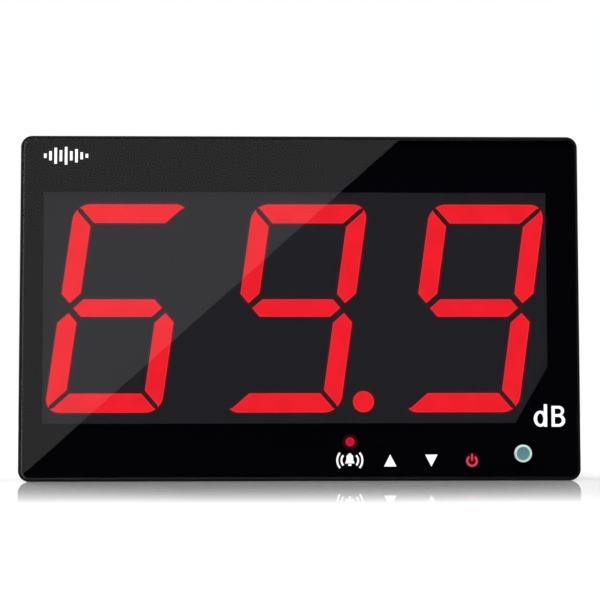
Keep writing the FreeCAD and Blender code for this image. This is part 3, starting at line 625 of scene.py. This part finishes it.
material, tree, coord = new_material("matt_polyester_film")
centred = add(tree, "Mapping", None, {"Vector": coord, "Location": -middle("rating_label")})
place = add(tree, "SeparateXYZ", None, {0: centred}).outputs
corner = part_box("rating_label")[1] - middle("rating_label")
inset = []
for axis in (0, 2):
    size = add(tree, "Math", {"operation": "ABSOLUTE"}, {0: place[axis]})
    inset.append(add(tree, "Math", {"operation": "SUBTRACT"}, {0: corner[axis], 1: size}))
edge = add(tree, "Math", {"operation": "MINIMUM"}, {0: inset[0], 1: inset[1]})
border = add(tree, "Math", {"operation": "COMPARE"}, {0: edge, 1: LABEL_EDGE, 2: RULE})
row = add(tree, "Math", {"operation": "PINGPONG"}, {0: place[2], 1: RULE_PITCH / 2})
rules = add(tree, "Math", {"operation": "LESS_THAN"}, {0: row, 1: RULE / 2})
within = add(tree, "Math", {"operation": "GREATER_THAN"}, {0: edge, 1: RULES_IN})
rules = add(tree, "Math", {"operation": "MULTIPLY"}, {0: rules, 1: within})
ink = add(tree, "Math", {"operation": "MAXIMUM"}, {0: border, 1: rules})
fibre = add(tree, "TexNoise", None, {"Vector": coord, "Scale": 1 / FIBRE})
colour = add(tree, "Mix", RGBA, {0: ink, 6: srgb("b9bbbd"), 7: srgb("2a2a2c")})
polish = add(tree, "MapRange", None, {0: fibre, **SPAN, 3: 0.45, 4: 0.6})
shader = add(tree, "BsdfPrincipled", None, {
    "Base Color": colour.outputs[2],
    "Metallic": 0.3,
    "Roughness": polish})
add(tree, "OutputMaterial", None, {"Surface": shader})
paint(material, "rating_label")

# ---- table -----------------------------------------------------------------------------------
# A white lacquered table, glossiest where the meter stands. There it mirrors the lowest part
# of the face, and it fades to matt towards the front, the back and both sides.
FLOOR_R = 1.1
GLOSS_FADE = 114 * MM             # to the front and the back of the meter's face
GLOSS_CURVE = 2.6                 # above 1, so that the gloss stays nearly full close by
SIDE_FADE = 20 * MM               # beyond the meter's two sides

scene.view_settings.view_transform = "Standard"

bm = bmesh.new()
bmesh.ops.create_circle(bm, cap_ends=True, segments=96, radius=FLOOR_R)
mesh = bpy.data.meshes.new("floor")
bm.to_mesh(mesh)
bm.free()
material, tree, coord = new_material("white_lacquered_table")
place = add(tree, "SeparateXYZ", None, {0: coord}).outputs
apart = add(tree, "Math", {"operation": "SUBTRACT"}, {0: place[1], 1: cad_low.y})
apart = add(tree, "Math", {"operation": "ABSOLUTE"}, {0: apart})
apart = add(tree, "MapRange", None, {0: apart, 1: 0.0, 2: GLOSS_FADE, 3: 0.0, 4: 1.0})
apart = add(tree, "Math", {"operation": "POWER"}, {0: apart, 1: GLOSS_CURVE})
near = add(tree, "Math", {"operation": "SUBTRACT"}, {0: 1.0, 1: apart})
aside = add(tree, "Math", {"operation": "ABSOLUTE"}, {0: place[0]})
beside = add(tree, "MapRange", {"interpolation_type": "SMOOTHSTEP"}, {
    0: aside, 1: cad_high.x, 2: cad_high.x + SIDE_FADE, 3: 1.0, 4: 0.0})
near = add(tree, "Math", {"operation": "MULTIPLY"}, {0: near, 1: beside})
matt = add(tree, "BsdfDiffuse", None, {"Color": srgb("bdbdbd")})
gloss = add(tree, "BsdfPrincipled", None, {
    "Base Color": srgb("b8b8b8"), "Roughness": 0.02, "IOR": 1.5})
table = add(tree, "MixShader", None, {0: near, 1: matt, 2: gloss})
add(tree, "OutputMaterial", None, {"Surface": table})
mesh.materials.append(material)
floor = bpy.data.objects.new("floor", mesh)
scene.collection.objects.link(floor)
floor.visible_glossy = False
floor.visible_transmission = False

# ---- pale board --------------------------------------------------------------------------
# A lit board behind the camera, for the panel to mirror. Its straight edge shows as a line
# across the face, from the upper right to the lower left, with a pale half above it.
BOARD_Y = -1.2
BOARD_SIZE = 1.6
BOARD_LIGHT = 0.6
EDGE_POINTS = ((45.5 * MM, 152.5 * MM), (-121.8 * MM, 3.2 * MM))   # X and Z where it shows

face_y = cad_low.y
mirrored = Vector((CAMERA_AT.x, 2 * face_y - CAMERA_AT.y, CAMERA_AT.z))
reach = (BOARD_Y - mirrored.y) / (face_y - mirrored.y)
corners = [mirrored.lerp(Vector((x, face_y, z)), reach) for x, z in EDGE_POINTS]
along = (corners[0] - corners[1]).normalized()
away = Vector((-along.z, 0, along.x))
bm = bmesh.new()
ends = (corners[1] - along * BOARD_SIZE, corners[0] + along * BOARD_SIZE)
edge = bm.edges.new([bm.verts.new(end) for end in ends])
grown = bmesh.ops.extrude_edge_only(bm, edges=[edge])["geom"]
far_side = [item for item in grown if isinstance(item, bmesh.types.BMVert)]
bmesh.ops.translate(bm, verts=far_side, vec=away * BOARD_SIZE)
mesh = bpy.data.meshes.new("reflected_board")
bm.to_mesh(mesh)
bm.free()
material, tree, _ = new_material("lit_pale_board")
glow = add(tree, "Emission", None, {"Color": srgb("ffffff"), "Strength": BOARD_LIGHT})
add(tree, "OutputMaterial", None, {"Surface": glow})
mesh.materials.append(material)
board = bpy.data.objects.new("reflected_board", mesh)
scene.collection.objects.link(board)
board.visible_camera = False
board.visible_diffuse = False
board.visible_transmission = False
board.visible_shadow = False

# ---- lamps and room ----------------------------------------------------------------------
# Soft boxes above, in front and behind, in a room that is white to the eye. What shiny
# surfaces see of the room is bright at the back and on the left, and falls off to dark in
# front and on the right.
ROOM_LIGHT = 0.45
MIRRORED_LIGHT = 1.1
BRIGHT_SIDE = (-0.5, 0.5, 0.0)
DARK_UP_TO = -0.1                 # how far a direction turns to the bright side, from dark
BRIGHT_FROM = 0.5                 # to fully bright


def soft_box(name, at, size, watts, glossy):
    """A square area lamp that faces the meter."""
    lamp = bpy.data.lights.new(name, "AREA")
    lamp.size = size
    lamp.energy = watts
    box = bpy.data.objects.new(name, lamp)
    scene.collection.objects.link(box)
    box.location = at
    target = Vector((0, 0, cad_high.z / 2))
    box.rotation_euler = (target - Vector(at)).to_track_quat("-Z", "Y").to_euler()
    box.visible_glossy = glossy


soft_box("lamp_above", (0, 0, 1.5), 2.2, 60.0, False)
soft_box("lamp_front_left", (-1.1, -1.5, 1.0), 0.8, 6.0, True)
soft_box("lamp_front_right", (1.3, -1.2, 0.7), 0.7, 2.0, True)
soft_box("lamp_back_left", (-1.1, 1.3, 0.8), 0.8, 14.0, True)
soft_box("lamp_back_right", (1.1, 1.3, 0.5), 0.8, 8.0, True)

world = bpy.data.worlds.new("white_room")
scene.world = world
world.use_nodes = True
tree = world.node_tree
tree.nodes.clear()
ray = add(tree, "LightPath")
direction = add(tree, "TexCoord").outputs["Generated"]
toward = add(tree, "VectorMath", {"operation": "DOT_PRODUCT"}, {0: direction, 1: BRIGHT_SIDE})
mirror_light = add(tree, "MapRange", None, {
    0: toward.outputs["Value"], 1: DARK_UP_TO, 2: BRIGHT_FROM, 3: 0.0, 4: MIRRORED_LIGHT})
white = srgb("ffffff")
seen = add(tree, "Background", None, {"Color": white, "Strength": 1.0})
mirrored = add(tree, "Background", None, {"Color": white, "Strength": mirror_light})
soft = add(tree, "Background", None, {"Color": white, "Strength": ROOM_LIGHT})
unseen = add(tree, "MixShader", None, {
    0: ray.outputs["Is Glossy Ray"], 1: soft, 2: mirrored})
whole = add(tree, "MixShader", None, {0: ray.outputs["Is Camera Ray"], 1: unseen, 2: seen})
add(tree, "OutputWorld", None, {"Surface": whole})
